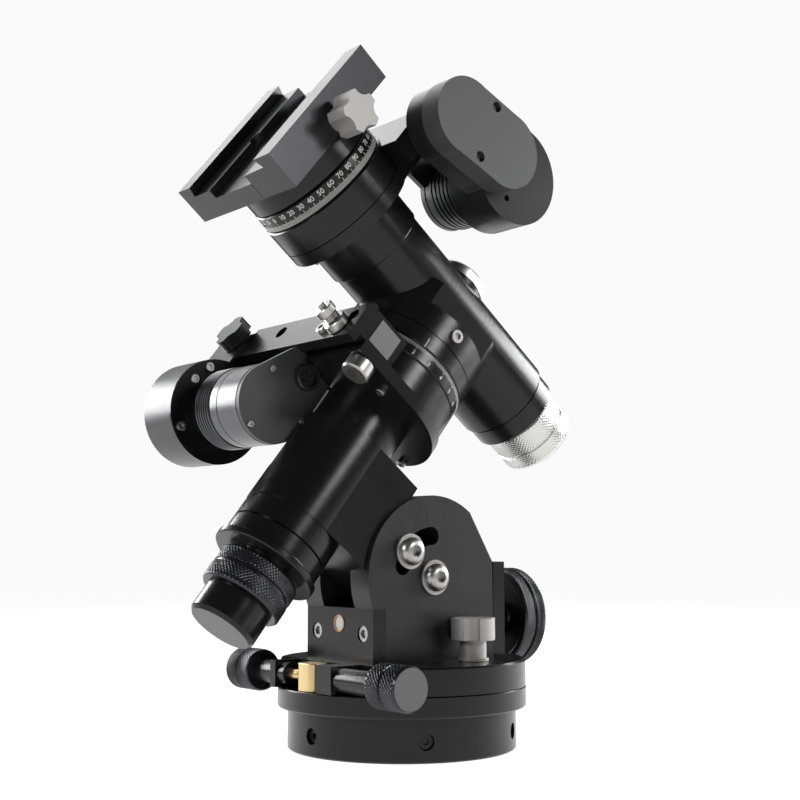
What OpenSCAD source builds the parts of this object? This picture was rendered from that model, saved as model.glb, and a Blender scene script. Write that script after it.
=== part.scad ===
// Equatorial telescope mount head: base, azimuth and altitude adjusters,
// polar axis housing, declination axis housing, worm drives and dovetail saddle.

/* [Latitude and axes] */
// Tilt of the polar axis above the horizon, degrees
latitude = 51; // [50:0.5:52]
// Distance of the axis crossing in front of the base centre
cross_y = 28.6; // [27:0.2:30]
// Height of the axis crossing above the base
cross_z = 293.3; // [290:0.5:296]
// Radius of both axis shafts
shaft_r = 15.875; // [15:0.125:16]
// Radial running clearance of shafts and pins
fit = 0.05; // [0.02:0.01:0.09]

/* [Base] */
// Outer radius of the adapter ring that drops on the pier
adapter_r = 76.2; // [75:0.1:78]
// Inner radius of the adapter ring
pier_r = 63.5; // [60:0.5:66]
// Height of the adapter ring
adapter_h = 27.4; // [26:0.2:28]
// Radius of the base flange
flange_r = 83.1; // [82:0.1:85]
// Top of the base flange
flange_top = 40.7; // [40:0.1:41]
// Top of the turning disc
disc_top = 58.3; // [57:0.1:60]
// Radius of the turning disc
disc_r = 82.9; // [82:0.1:84]
// Number of radial clamp screws
clamp_screws = 6; // [3:1:8]

/* [Altitude frame] */
// Outer half width over the side plates
plate_x = 36; // [35:0.5:38]
// Thickness of a side plate
plate_t = 19; // [16:0.5:19]
// Radius of the side plate's round top
plate_arc_r = 53.6; // [52:0.2:53.8]
// Pivot position, y then z
pivot = [-2.2, 112.2];
// Radius of the arc slot in the side plates
slot_r = 27; // [25:0.5:28]
// Height of the altitude screw
alt_screw_z = 82.7; // [82:0.1:84]
// Radius of the altitude screw
alt_screw_r = 4.6; // [4:0.1:4.8]
// Radius of the altitude knob
alt_knob_r = 34.5; // [30:0.5:35]

/* [Polar axis] */
// Radius of the polar housing tube
ra_tube_r = 33.5; // [32:0.5:34]
// Radius of the wheel cover, setting circle and index ring
ra_ring_r = 49.1; // [48:0.1:50]
// Radius of the polar clutch knob
ra_clutch_r = 27.5; // [24:0.5:30]
// Teeth of each worm wheel
wheel_teeth = 144; // [90:1:180]
// Teeth of each transfer gear (odd, so equal gears mesh)
gear_teeth = 25; // [25:2:27]

/* [Declination axis] */
// Radius of the declination tube
dec_tube_r = 34; // [33:0.5:34]
// Radius of the declination setting circle
dec_ring_r = 47.2; // [46:0.1:48]
// Radius of the declination clutch knob
dec_clutch_r = 28.8; // [24:0.2:30]
// Length of the saddle along the telescope
saddle_len = 109.5; // [100:0.5:112]

/* [Azimuth adjuster] */
// Distance of the adjusting screws behind the base centre
az_y = -72; // [-73:0.5:-71]
// Height of the adjusting screws
az_z = 49.65; // [49.5:0.05:49.8]
// Radius of the adjusting screws' necks
az_screw_r = 7.6; // [7:0.1:7.7]
// Radius of the adjusting screws' tips
az_tip_r = 3.2; // [2.6:0.1:4]
// Radius of the adjusting knobs
az_knob_r = 14; // [12:0.5:15]

/* [Hidden] */
$fn = 72;

black = [0.08, 0.08, 0.09];
dark = [0.2, 0.2, 0.21];
silver = [0.78, 0.78, 0.8];
steel = [0.62, 0.63, 0.65];
brass = [0.78, 0.6, 0.3];

// Worm and gear positions, [p, u] on each drive
ra_worm_at = [-76, 53.6];
ra_gear_step = 25;
ra_motor_at = [-133, 55];
ra_trim_at = [-93, -76];
ra_pinion_at = [ra_worm_at[0] - 2 * ra_gear_step, ra_worm_at[1]];
dec_worm_at = [52.2, 112.8];
dec_pinion_at = [72.6, 66.87];
dec_idler_at = (dec_worm_at + dec_pinion_at) / 2;
dec_gear_angle = atan2(dec_pinion_at[1] - dec_worm_at[1], dec_pinion_at[0] - dec_worm_at[0]);
dec_motor_at = [79, 46];
pivot_pu = [
    (pivot[0] - cross_y) * cos(latitude) + (pivot[1] - cross_z) * sin(latitude),
    (pivot[1] - cross_z) * cos(latitude) - (pivot[0] - cross_y) * sin(latitude)
];
lock_at = [52, 18];
wheel_r = 46;
dec_wheel_r = 44.6;
bearing_r = 26;
gap = 0.3;

// ---- frames and helpers ----

// Origin at the axis crossing, local z along the polar axis, local y away from the saddle
module polar() {
    translate([0, cross_y, cross_z]) rotate([latitude - 90, 0, 0]) children();
}

// Origin at the axis crossing, local y along the polar axis (p), local z towards the saddle (u)
module head() {
    translate([0, cross_y, cross_z]) rotate([latitude, 0, 0]) children();
}

// Extrudes a flat outline in (y, z) from x0 to x1
module slab_x(x0, x1) {
    translate([x0, 0, 0]) rotate([90, 0, 90]) linear_extrude(x1 - x0) children();
}

// Extrudes a flat outline in (x, z) from y0 to y1
module slab_y(y0, y1) {
    translate([0, y1, 0]) rotate([90, 0, 0]) linear_extrude(y1 - y0) children();
}

module box(lo, hi) {
    translate(lo) cube(hi - lo);
}

module rod_x(x0, x1, at, r) {
    translate([x0, at[0], at[1]]) rotate([0, 90, 0]) cylinder(h = x1 - x0, r = r);
}

module rod_y(y0, y1, at, r) {
    translate([at[0], y0, at[1]]) rotate([-90, 0, 0]) cylinder(h = y1 - y0, r = r);
}

module rod_z(z0, z1, at, r) {
    translate([at[0], at[1], z0]) cylinder(h = z1 - z0, r = r);
}

// Ring about z from z0 to z1 with chamfered outer edges
module ring(r, bore, z0, z1, chamfer = 0.8) {
    rotate_extrude() polygon([
        [bore, z0], [r - chamfer, z0], [r, z0 + chamfer], [r, z1 - chamfer], [r - chamfer, z1], [bore, z1]
    ]);
}

// Flat outline with round ends at a and b
module track(a, b, r) {
    d = b - a;
    translate(a) circle(r);
    translate(b) circle(r);
    side = 0.992 * r;
    translate(a) rotate(atan2(d[1], d[0])) translate([0, -side]) square([norm(d), 2 * side]);
}

// Toothed outline; a tooth points along +x
module toothed(teeth, root, tip, base_share, tip_share) {
    step = 360 / teeth;
    polygon([
        for (i = [0:teeth - 1])
            for (corner = [[-base_share, root], [-tip_share, tip], [tip_share, tip], [base_share, root]])
                let(a = step * (i + corner[0] / 2))
                    [corner[1] * cos(a), corner[1] * sin(a)]
    ]);
}

// Lobed outline for a hand knob
module lobed(lobes, r, waist) {
    difference() {
        circle(r);
        for (i = [0:lobes - 1])
            rotate(360 / lobes * (i + 0.5)) translate([r + waist * 0.55, 0]) circle(waist);
    }
}

// Hexagon-socket button head on the x axis, pointing out in +x
module button_x(x0, at, r, h, socket_r) {
    translate([x0, at[0], at[1]]) rotate([0, 90, 0]) difference() {
        rotate_extrude() polygon([[0, 0], [r, 0], [r, h * 0.35], [r * 0.72, h], [0, h]]);
        translate([0, 0, h * 0.45]) cylinder(h = h, r = socket_r, $fn = 6);
    }
}

// ---- base ----

module adapter_ring() {
    color(black) difference() {
        rotate_extrude() polygon([
            [10, adapter_h], [10, 20], [pier_r, 20], [pier_r, 0], [adapter_r - 1, 0], [adapter_r, 1],
            [adapter_r, adapter_h]
        ]);
        for (i = [0:clamp_screws - 1])
            rotate(360 / clamp_screws * i - 87.5) {
                translate([pier_r - 5, 0, 13]) rotate([0, 90, 0]) cylinder(h = 20, r = 2.6);
                translate([adapter_r - 7, 0, 13]) rotate([0, 90, 0]) cylinder(h = 10, r = 5.2);
            }
    }
}

// The annular T-groove holds the clamp nuts of the two lock knobs
module base_flange() {
    color(black) rotate_extrude() difference() {
        polygon([
            [10, adapter_h], [flange_r - 1, adapter_h], [flange_r, adapter_h + 1],
            [flange_r, flange_top - 0.6], [flange_r - 0.6, flange_top], [10, flange_top]
        ]);
        translate([49.6, 35.5]) square([11, 6]);
        translate([45, 30.4]) square([20, 5.2]);
    }
}

module base_screws() {
    color(steel) {
        for (i = [0:clamp_screws - 1])
            rotate(360 / clamp_screws * i - 87.5) {
                translate([pier_r + 0.5, 0, 13]) rotate([0, 90, 0]) cylinder(h = 8, r = 2.5);
                difference() {
                    translate([adapter_r - 6.8, 0, 13]) rotate([0, 90, 0]) cylinder(h = 4.2, r = 4.7);
                    translate([adapter_r - 5, 0, 13]) rotate([0, 90, 0]) cylinder(h = 5, r = 2.4, $fn = 6);
                }
            }
        rod_z(20.5, 46, [0, 0], 9.9);
        rod_z(46, 54, [0, 0], 7.8);
    }
}

module azimuth_anchor() {
    color(brass) box([-9.5, -80, flange_top], [9.5, -66, disc_top + 0.2]);
}

// ---- turning frame ----

module turn_disc() {
    color(black) difference() {
        rotate_extrude() polygon([
            [10, 46.3], [10, flange_top + gap], [disc_r, flange_top + gap], [disc_r, disc_top - 1.2],
            [disc_r - 1.2, disc_top], [0, disc_top], [0, 54.5], [8, 54.5], [8, 46.3]
        ]);
        box([-70, -90, 40], [70, -57.5, 60]);
        for (side = [-1, 1])
            rod_z(40, 60, [side * lock_at[0], lock_at[1]], 4 + fit);
    }
}

module adjuster_frame() {
    color(black) difference() {
        box([-38, -80.5, flange_top + gap], [30, -57.5, disc_top]);
        box([-32, -90, 40], [14, -62, 60]);
        rod_x(-50, 50, [az_y, az_z], az_screw_r + fit);
    }
}

module side_outline() {
    difference() {
        intersection() {
            polygon([
                [-41.8, disc_top], [50.9, disc_top], [49.9, 122.5], [31.5, 152.7], [20, 172], [-60, 172],
                [-60, 93], [-41.8, 93]
            ]);
            union() {
                translate(pivot) circle(plate_arc_r);
                polygon([[-41.8, disc_top], [60, disc_top], [60, 112], [31.5, 152.7], pivot, [-41.8, 93]]);
            }
        }
        translate(pivot) circle(6 + fit);
        translate(pivot) slot_outline(93, 163.5);
    }
}

module slot_outline(a0, a1) {
    difference() {
        circle(slot_r + 5.85);
        circle(slot_r - 5.85);
        reach = 2 * slot_r;
        polygon([
            [0, 0], reach * [cos(a1), sin(a1)], reach * [-2, sin(a1)], reach * [-2, -2], reach * [2, -2],
            reach * [2, 2], reach * [cos(a0), 2], reach * [cos(a0), sin(a0)]
        ]);
    }
    for (a = [a0, a1])
        translate(slot_r * [cos(a), sin(a)]) circle(6);
}

module side_plate_east() {
    color(black) slab_x(plate_x - plate_t, plate_x) side_outline();
}

module side_plate_west() {
    color(black) slab_x(-plate_x, plate_t - plate_x) side_outline();
}

module south_block() {
    color(black) difference() {
        box([-plate_x, -52.2, disc_top], [plate_x, -41.8, 93]);
        rod_y(-60, -40, [0, alt_screw_z], 5.6);
        for (side = [-1, 1]) {
            rod_y(-60, -40, [25 * side, 77], 3.1);
            rod_y(-60, -47.2, [25 * side, 77], 5.3);
        }
    }
}

module north_plate() {
    color(black) difference() {
        box([-plate_x, 50.9, disc_top], [plate_x, 61.2, 122]);
        rod_y(45, 70, [0, alt_screw_z], alt_screw_r + fit);
    }
}

module frame_bolts() {
    color(steel) {
        rod_x(-plate_x, plate_x, pivot, 6);
        for (side = [0, 1])
            mirror([side, 0, 0]) {
                rod_x(plate_x, plate_x + 2, pivot, 11.4);
                button_x(plate_x + 2, pivot, 9, 5.7, 4.2);
                difference() {
                    rod_y(-51.4, -47.4, [25, 77], 5.1);
                    translate([25, -60, 77]) rotate([-90, 0, 0]) cylinder(h = 10, r = 3, $fn = 6);
                }
                rod_y(-47.4, -42, [25, 77], 3);
                difference() {
                    box([lock_at[0] - 6.5, lock_at[1] - 6.5, 31], [lock_at[0] + 6.5, lock_at[1] + 6.5, 35]);
                    rod_z(30, 36, lock_at, 4 + fit);
                }
            }
    }
}

module altitude_bush() {
    color(brass) difference() {
        rod_y(-52.6, -41.8, [0, alt_screw_z], 5.58);
        rod_y(-53, -41, [0, alt_screw_z], alt_screw_r + fit);
    }
}

// Adjusting screw with its knurled knob, built pointing east
module azimuth_screw(tip, neck, knob0, knob1) {
    translate([0, az_y, az_z]) rotate([0, 90, 0]) rotate_extrude() polygon([
        [0, tip], [az_tip_r - 1, tip], [az_tip_r, tip + 1], [az_tip_r, neck], [az_screw_r, neck],
        [az_screw_r, knob0], [az_knob_r - 1, knob0], [az_knob_r, knob0 + 1], [az_knob_r, knob1 - 1.5],
        [az_knob_r - 1.5, knob1], [0, knob1]
    ]);
}

module azimuth_screw_west() {
    color(silver) mirror([1, 0, 0]) azimuth_screw(10.2, 24, 59, 86);
}

module azimuth_screw_east() {
    color(silver) azimuth_screw(10.2, 26, 70, 98);
}

module lock_knob(side) {
    color(silver) translate([side * lock_at[0], lock_at[1], 0]) {
        cylinder_between(30.8, 58.6, 4);
        cylinder_between(58.6, 60.4, 10);
        cylinder_between(60.4, 72, 8.5);
        translate([0, 0, 72]) linear_extrude(14) lobed(4, 15, 7);
    }
}

module cylinder_between(z0, z1, r) {
    translate([0, 0, z0]) cylinder(h = z1 - z0, r = r);
}

module lock_knob_west() {
    lock_knob(-1);
}

module lock_knob_east() {
    lock_knob(1);
}

module altitude_screw() {
    color(steel) rod_y(-52.2, 90, [0, alt_screw_z], alt_screw_r);
}

module altitude_knob() {
    color(black) translate([0, 0, alt_screw_z]) rotate([-90, 0, 0]) rotate_extrude() polygon([
        [alt_screw_r + 0.02, 61.6], [12, 61.6], [12, 88], [alt_knob_r - 5, 88], [alt_knob_r - 5, 84],
        [alt_knob_r - 1.5, 84], [alt_knob_r, 85.5], [alt_knob_r, 93], [alt_knob_r - 1.5, 94],
        [alt_knob_r, 95], [alt_knob_r, 102.5], [alt_knob_r - 1.5, 104], [0, 104], [0, 90.4],
        [alt_screw_r + 0.02, 90.4]
    ]);
}

module altitude_nut() {
    color(brass) difference() {
        union() {
            box([-9.5, pivot[0] - 8, alt_screw_z - 9], [9.5, pivot[0] + 8, alt_screw_z + 9]);
            rod_x(-16, 16, [pivot[0], alt_screw_z], 5);
        }
        rod_y(-20, 20, [0, alt_screw_z], alt_screw_r + fit);
    }
}

// ---- polar axis housing ----

module ra_housing() {
    color(black) difference() {
        union() {
            head() {
                rod_y(-190, -122, [0, 0], ra_tube_r);
                rod_y(-122, -95, [0, 0], 30);
                difference() {
                    box([-33, -190, -45], [33, -122, 0]);
                    for (x0 = [-50, 16.4])
                        rod_x(x0, x0 + 33.6, pivot_pu, plate_arc_r + 0.4);
                }
                box([-16.4, -189.7, -90.5], [16.4, -131.3, -40]);
                rod_x(-16.4, 16.4, pivot_pu, 29.5);
            }
            box([-16.1, pivot[0] - 14, 74], [16.1, pivot[0] + 14, pivot[1]]);
        }
        box([-10, -60, 60], [10, 60, 97]);
        box([-20, pivot[0] - 5.8, 60], [20, pivot[0] + 5.8, 97]);
        rod_x(-40, 40, pivot, 6 + fit);
        head() {
            rod_y(-200, -80, [0, 0], 20);
            rod_y(-200, -178, [0, 0], bearing_r);
            rod_y(-134, -90, [0, 0], bearing_r);
            box([-40, -165, 27.3], [-9.7, -121, 40]);
            rod_x(-40, 40, [pivot_pu[0], pivot_pu[1] + slot_r], 5.7);
        }
    }
}

module ra_flange_plate() {
    color(black) polar() translate([0, 0, -95]) linear_extrude(9) difference() {
        union() {
            circle(51);
            translate([-51, -56]) square([102, 56]);
        }
        circle(20);
        translate([-15, -70]) square([6, 42.6]);
    }
}

module ra_wheel_cover() {
    color(black) polar() difference() {
        ring(ra_ring_r, wheel_r + 0.6, -86, -65.3);
        translate([-26, -60, -83]) cube([52, 30, 15]);
    }
}

module ra_lower_collar() {
    color(black) polar() rotate_extrude() polygon([
        [17, -223], [34.7, -223], [35.5, -222.2], [35.5, -218.8], [34.7, -218], [33, -218], [33, -206.5],
        [31, -206.5], [31, -205], [33, -205], [33, -190], [17, -190]
    ]);
}

module bearing(z0, z1) {
    ring(bearing_r - 0.02, 21.5, z0, z1, 0.6);
    ring(19, shaft_r + fit, z0, z1, 0.4);
    ring(21.6, 18.9, z0 + 3, z1 - 3, 0.1);
}

module ra_bearings() {
    color(steel) polar() {
        bearing(-190, -178);
        bearing(-134, -122);
    }
}

module tilt_bolts() {
    at = [pivot_pu[0], pivot_pu[1] + slot_r];
    color(steel) head() {
        rod_x(-plate_x - gap, plate_x + gap, at, 5.6);
        for (side = [0, 1])
            mirror([side, 0, 0]) {
                rod_x(plate_x + gap, plate_x + 2.3, at, 11.4);
                button_x(plate_x + 2.3, at, 9, 5.7, 4.2);
            }
    }
}

module ra_worm_housing() {
    color(black) head() difference() {
        union() {
            slab_x(-81, 49) polygon([[-92.5, 61], [-62, 61], [-62, 64.5], [-65.5, 68], [-92.5, 68]]);
            box([-81, -86, 30], [49, -64, 61]);
        }
        rod_y(-100, -50, [0, 0], ra_ring_r + 0.5);
        rod_x(-90, 38, ra_worm_at, 8.4);
        rod_z(62.6, 70, [39, -74.5], 5);
        rod_z(62.6, 70, [-42.5, -75], 5);
    }
}

module ra_motor() {
    ra_motor_barrel();
    ra_motor_plate();
}

module ra_motor_barrel() {
    color(dark) head() translate([0, ra_motor_at[0], ra_motor_at[1]]) rotate([0, 90, 0]) difference() {
        rotate_extrude() polygon(concat(
            [[0, -80.9], [22, -80.9], [22, -64.5]],
            [for (i = [0:4]) for (k = [[27.5, 0], [27.5, 2.2], [25.6, 2.2], [25.6, 3.38]])
                [k[0], -64.5 + i * 3.38 + k[1]]],
            [[26.8, -47.6], [26.8, -38.2], [26.2, -38.2], [26.2, -37], [26.8, -37], [26.8, -14.1], [0, -14.1]]
        ));
        translate([ra_motor_at[1] - ra_pinion_at[1], ra_pinion_at[0] - ra_motor_at[0], -82])
            cylinder(h = 10, r = 3.1);
    }
}

module ra_motor_plate() {
    color(silver) head() {
        slab_x(-14, -10) difference() {
            union() {
                translate(ra_motor_at) circle(26.4);
                polygon([
                    [-133, 28.7], [-94, 28.7], [-90, 33], [-90, 60.8], [-92.8, 60.8], [-92.8, 65.8],
                    [-94, 67], [-110, 67], [-133, 80]
                ]);
            }
        }
        difference() {
            box([-40, -110, 34], [-14, -95.3, 62]);
            rod_x(-50, -14.05, ra_motor_at, 26.85);
        }
        rod_x(-10, -7, [-103.2, 47.5], 8);
    }
}

module ra_case_outline(r_can, r_track) {
    translate(ra_motor_at) circle(r_can);
    track(ra_pinion_at, [-78, ra_worm_at[1]], r_track);
}

module ra_gear_case() {
    color(silver) head() difference() {
        slab_x(-118, -83) ra_case_outline(36.5, 17);
        slab_x(-110, -82) ra_case_outline(33.5, 15.5);
        rod_z(66, 75, ra_trim_at, 3.4 + fit);
    }
}

module ra_gear_cover() {
    color(black) head() difference() {
        slab_x(-83, -81) ra_case_outline(36.5, 17);
        rod_x(-84, -80, ra_pinion_at, 3.1);
        rod_x(-84, -80, ra_worm_at, 8.4);
    }
}

module ra_clutch_knob() {
    color(silver) polar() rotate_extrude() polygon([
        [shaft_r + fit, -250], [ra_clutch_r - 1, -250], [ra_clutch_r, -249], [ra_clutch_r, -238.6],
        [ra_clutch_r - 1, -238.2], [ra_clutch_r - 1, -236.8], [ra_clutch_r, -236.4], [ra_clutch_r, -227],
        [ra_clutch_r - 1, -226], [shaft_r + fit, -226]
    ]);
}

module polar_cover() {
    color(black) polar() rotate_extrude() polygon([
        [0, -271], [20.6, -271], [22.5, -268.5], [22.5, -250.4], [9.9, -250.4], [9.9, -240], [0, -240]
    ]);
}

// Transfer gear about the x axis; turn is the direction of its first tooth
module transfer_gear(x0, x1, at, turn) {
    translate([0, at[0], at[1]]) slab_x(x0, x1) rotate(turn) toothed(gear_teeth, 11.2, 13.2, 0.55, 0.24);
}

module worm_shaft(x0, x1, at, worm0, worm1) {
    translate([0, at[0], at[1]]) rotate([0, 90, 0]) rotate_extrude() polygon(concat(
        [[0, x0], [4, x0], [4, worm0]],
        [for (x = [worm0:2:worm1 - 2]) for (k = [[5, 0], [6.9, 0.7], [6.9, 1.3]]) [k[0], x + k[1]]],
        [[4, worm1], [4, x1], [0, x1]]
    ));
}

module ra_worm() {
    color(steel) head() {
        transfer_gear(-92, -86, ra_worm_at, 0);
        worm_shaft(-94, 37, ra_worm_at, -16, 16);
    }
}

module ra_idler_gear() {
    color(brass) head() {
        transfer_gear(-92, -86, [ra_worm_at[0] - ra_gear_step, ra_worm_at[1]], 0);
        rod_x(-96, -84.5, [ra_worm_at[0] - ra_gear_step, ra_worm_at[1]], 3);
    }
}

module ra_pinion() {
    color(steel) head() {
        transfer_gear(-92, -86, ra_pinion_at, 0);
        rod_x(-94, -74, ra_pinion_at, 3);
    }
}

module ra_trim_knob() {
    color(black) head() {
        translate([ra_trim_at[0], ra_trim_at[1], 71.2]) linear_extrude(9.8) lobed(4, 13, 7);
        rod_z(67.8, 72, ra_trim_at, 3.4);
    }
}

module ra_setting_circle() {
    color(black) polar() ring(ra_ring_r, 30 + fit, -65, -54);
}

module worm_wheel(r, z0, z1) {
    translate([0, 0, z0]) linear_extrude(z1 - z0) difference() {
        toothed(wheel_teeth / 2, r - 1.4, r, 0.55, 0.28);
        circle(shaft_r + fit);
    }
}

module ra_worm_wheel() {
    color(brass) polar() worm_wheel(wheel_r, -82.5, -68.5);
}

// ---- turning head and declination axis ----

module ra_shaft() {
    color(steel) polar() difference() {
        cylinder_between(-248, -36, shaft_r);
        cylinder_between(-250, -60, 10);
    }
}

module ra_index_ring() {
    color(black) polar() ring(ra_ring_r, 30.02, -53.7, -40.8);
}

module ra_head() {
    color(black) head() difference() {
        union() {
            rod_y(-66, -40.7, [0, 0], 30);
            rod_y(-40.7, -22, [0, 0], 49);
            intersection() {
                rod_y(-22, -3, [0, 0], 49);
                box([-40, -22, -50], [40, -3, 50]);
            }
        }
        rod_y(-70, -35.9, [0, 0], shaft_r + 0.02);
        rod_z(-60, 60, [0, 0], dec_tube_r + 0.05);
    }
}

module dec_housing() {
    color(black) head() difference() {
        union() {
            rod_z(-83.5, 68.5, [0, 0], dec_tube_r);
            rod_y(0, 30, [0, 0], 22.5);
        }
        rod_z(-90, 80, [0, 0], 20);
        rod_z(-90, -71.5, [0, 0], bearing_r);
        rod_z(56.5, 80, [0, 0], bearing_r);
    }
}

module dec_collar() {
    color(black) head() difference() {
        union() {
            ring(35.5, 20, 68.5, 96);
            translate([0, 0, 96]) linear_extrude(9.3) {
                circle(48);
                translate([-40, 0]) square([80, 56]);
            }
        }
        rod_z(60, 110, [0, 0], 20);
    }
}

module dec_wheel_cover() {
    color(black) head() difference() {
        ring(48.1, dec_wheel_r + 0.8, 105.3, 125.6);
        box([-24, 30, 107], [24, 60, 123]);
    }
}

module dec_bearings() {
    color(steel) head() {
        bearing(-83.5, -71.5);
        bearing(56.5, 68.5);
    }
}

module dec_lower_collar() {
    color(black) head() rotate_extrude() polygon([
        [17, -100.4], [31, -100.4], [32.2, -99.2], [32.2, -86], [31.5, -86], [31.5, -83.5], [17, -83.5]
    ]);
}

module ra_end_cap() {
    color(silver) difference() {
        polar() rotate_extrude() polygon([[0, 30], [21, 30], [21, 38.6], [19.6, 40], [0, 40]]);
        head() rod_z(-60, 60, [0, 0], dec_tube_r + 0.1);
    }
}

module dec_worm_housing() {
    color(black) head() difference() {
        box([-45, 28, 105.4], [55.6, 60, 123.5]);
        rod_z(100, 130, [0, 0], 48.5);
        rod_x(-40, 60, dec_worm_at, 7.2);
    }
}

module dec_motor() {
    color(black) head() difference() {
        union() {
            translate([0, dec_motor_at[0], dec_motor_at[1]]) rotate([0, 90, 0])
                rotate_extrude() polygon(concat(
                    [[0, 4], [25, 4], [25, 10]],
                    [for (i = [0:6]) for (k = [[26.5, 0], [26.5, 2.4], [24.8, 2.4], [24.8, 4]])
                        [k[0], 10 + i * 4 + k[1]]],
                    [[24.8, 39.9], [0, 39.9]]
                ));
            slab_x(0, 4) {
                translate(dec_motor_at) circle(25.5);
                polygon([[66, 50], [92, 50], [88, 82], [84, 86], [68, 86], [62, 80]]);
            }
            rod_x(-3, 0, [75, 69], 8);
        }
        rod_x(30, 50, dec_pinion_at, 3.1);
    }
}

module dec_case_outline(r) {
    track([71.5, 69], [61.5, 106.5], r);
}

module dec_gear_case() {
    color(black) head() difference() {
        union() {
            rod_x(40, 72, dec_motor_at, 35);
            slab_x(56, 72) dec_case_outline(26);
        }
        slab_x(58.5, 73) dec_case_outline(24.7);
        rod_x(54, 60, dec_worm_at, 8);
        rod_x(39, 60, dec_pinion_at, 3.1);
        rod_x(68, 73, [58.5, 42], 2.2);
    }
}

module dec_gear_cover() {
    color(black) head() difference() {
        slab_x(72, 88) dec_case_outline(26);
        slab_x(71, 76) dec_case_outline(24.7);
        for (at = [[85.9, 94], [48.3, 82.8]])
            rod_x(80, 90, at, 3.6);
    }
}

module dec_clutch_knob() {
    color(silver) head() rotate_extrude() polygon([
        [0, -134], [dec_clutch_r - 4, -134], [dec_clutch_r, -130], [dec_clutch_r, -119.3],
        [dec_clutch_r - 1, -119], [dec_clutch_r - 1, -118], [dec_clutch_r, -117.7],
        [dec_clutch_r, -103], [dec_clutch_r - 1, -102], [shaft_r + fit, -102], [shaft_r + fit, -127],
        [0, -127]
    ]);
}

module dec_worm() {
    color(steel) head() {
        transfer_gear(61, 67, dec_worm_at, dec_gear_angle);
        worm_shaft(-39, 69, dec_worm_at, -16, 16);
    }
}

module dec_idler_gear() {
    color(brass) head() {
        transfer_gear(61, 67, dec_idler_at, dec_gear_angle);
        rod_x(59, 70, dec_idler_at, 3);
    }
}

module dec_pinion() {
    color(steel) head() {
        transfer_gear(61, 67, dec_pinion_at, dec_gear_angle);
        rod_x(36, 70, dec_pinion_at, 3);
    }
}

module dec_setting_circle() {
    color(black) head() ring(dec_ring_r, 30 + fit, 126, 138.4);
}

module dec_worm_wheel() {
    color(brass) head() worm_wheel(dec_wheel_r, 108, 122);
}

module dec_shaft() {
    color(steel) head() union() {
        rotate_extrude() polygon([
            [0, -126], [shaft_r, -126], [shaft_r, 124], [30, 124], [30, 138.7], [45.7, 138.7], [46.7, 139.7],
            [46.7, 153.2], [45.9, 154], [0, 154]
        ]);
    }
}

// ---- saddle ----

module saddle_body() {
    color(silver) head() difference() {
        union() {
            slab_y(57 - saddle_len, 57) polygon([
                [-57.2, 154], [16, 154], [16, 167], [-26, 167], [-26.3, 173.3], [-45.2, 173.3],
                [-42.7, 180.5], [-57.2, 180.5]
            ]);
            for (p = [-30, 34])
                rod_x(15, 44, [p, 160.5], 3.5);
        }
        rod_x(-8, 20, [5, 160.5], 4.4);
        rod_z(169, 180, [-26.5, 2.3], 5);
    }
}

module saddle_jaw() {
    color(silver) head() difference() {
        slab_y(57 - saddle_len, 57) polygon([
            [16.5, 154.4], [52.7, 154.4], [52.7, 181], [35.6, 181], [38.5, 174], [16.5, 173.5]
        ]);
        for (p = [-30, 34])
            rod_x(10, 45.5, [p, 160.5], 3.5 + fit);
        rod_x(10, 60, [5, 160.5], 4 + fit);
    }
}

module saddle_clamp_knob() {
    color(silver) head() {
        rod_x(-6, 55, [5, 160.5], 4);
        rod_x(53, 59, [5, 160.5], 8);
        slab_x(59, 76) translate([5, 160.5]) lobed(5, 13.5, 7.4);
    }
}

adapter_ring();
base_flange();
base_screws();
azimuth_anchor();
turn_disc();
adjuster_frame();
side_plate_west();
side_plate_east();
south_block();
north_plate();
frame_bolts();
altitude_bush();
azimuth_screw_west();
azimuth_screw_east();
lock_knob_west();
lock_knob_east();
altitude_screw();
altitude_knob();
altitude_nut();
ra_housing();
ra_flange_plate();
ra_wheel_cover();
ra_lower_collar();
ra_bearings();
tilt_bolts();
ra_worm_housing();
ra_motor();
ra_gear_case();
ra_gear_cover();
ra_clutch_knob();
polar_cover();
ra_worm();
ra_idler_gear();
ra_pinion();
ra_trim_knob();
ra_setting_circle();
ra_worm_wheel();
ra_shaft();
ra_index_ring();
ra_head();
dec_housing();
dec_collar();
dec_wheel_cover();
dec_bearings();
dec_lower_collar();
ra_end_cap();
dec_worm_housing();
dec_motor();
dec_gear_case();
dec_gear_cover();
dec_clutch_knob();
dec_worm();
dec_idler_gear();
dec_pinion();
dec_setting_circle();
dec_worm_wheel();
dec_shaft();
saddle_body();
saddle_jaw();
saddle_clamp_knob();
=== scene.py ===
"""Finishes, engraved scales and small parts of an equatorial mount head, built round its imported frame."""
import logging
import math
from dataclasses import dataclass, replace
from enum import Enum
from typing import Any, Callable, Iterable, Sequence

import bmesh
import bpy
import numpy as np
from mathutils import Matrix, Vector


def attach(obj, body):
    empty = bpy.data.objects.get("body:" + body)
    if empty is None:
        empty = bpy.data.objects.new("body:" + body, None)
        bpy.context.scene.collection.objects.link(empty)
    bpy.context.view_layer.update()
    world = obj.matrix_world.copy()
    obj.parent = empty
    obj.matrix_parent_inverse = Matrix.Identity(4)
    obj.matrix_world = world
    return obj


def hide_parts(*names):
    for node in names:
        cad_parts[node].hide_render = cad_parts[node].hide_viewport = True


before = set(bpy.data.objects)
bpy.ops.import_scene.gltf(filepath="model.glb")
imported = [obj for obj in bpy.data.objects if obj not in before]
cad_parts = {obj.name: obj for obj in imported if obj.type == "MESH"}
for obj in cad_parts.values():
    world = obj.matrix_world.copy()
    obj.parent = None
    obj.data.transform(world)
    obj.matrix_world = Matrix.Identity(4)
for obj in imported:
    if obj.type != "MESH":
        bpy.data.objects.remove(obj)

LOG = logging.getLogger("mount")
MM = 0.001
LATITUDE = math.radians(51)
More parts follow.
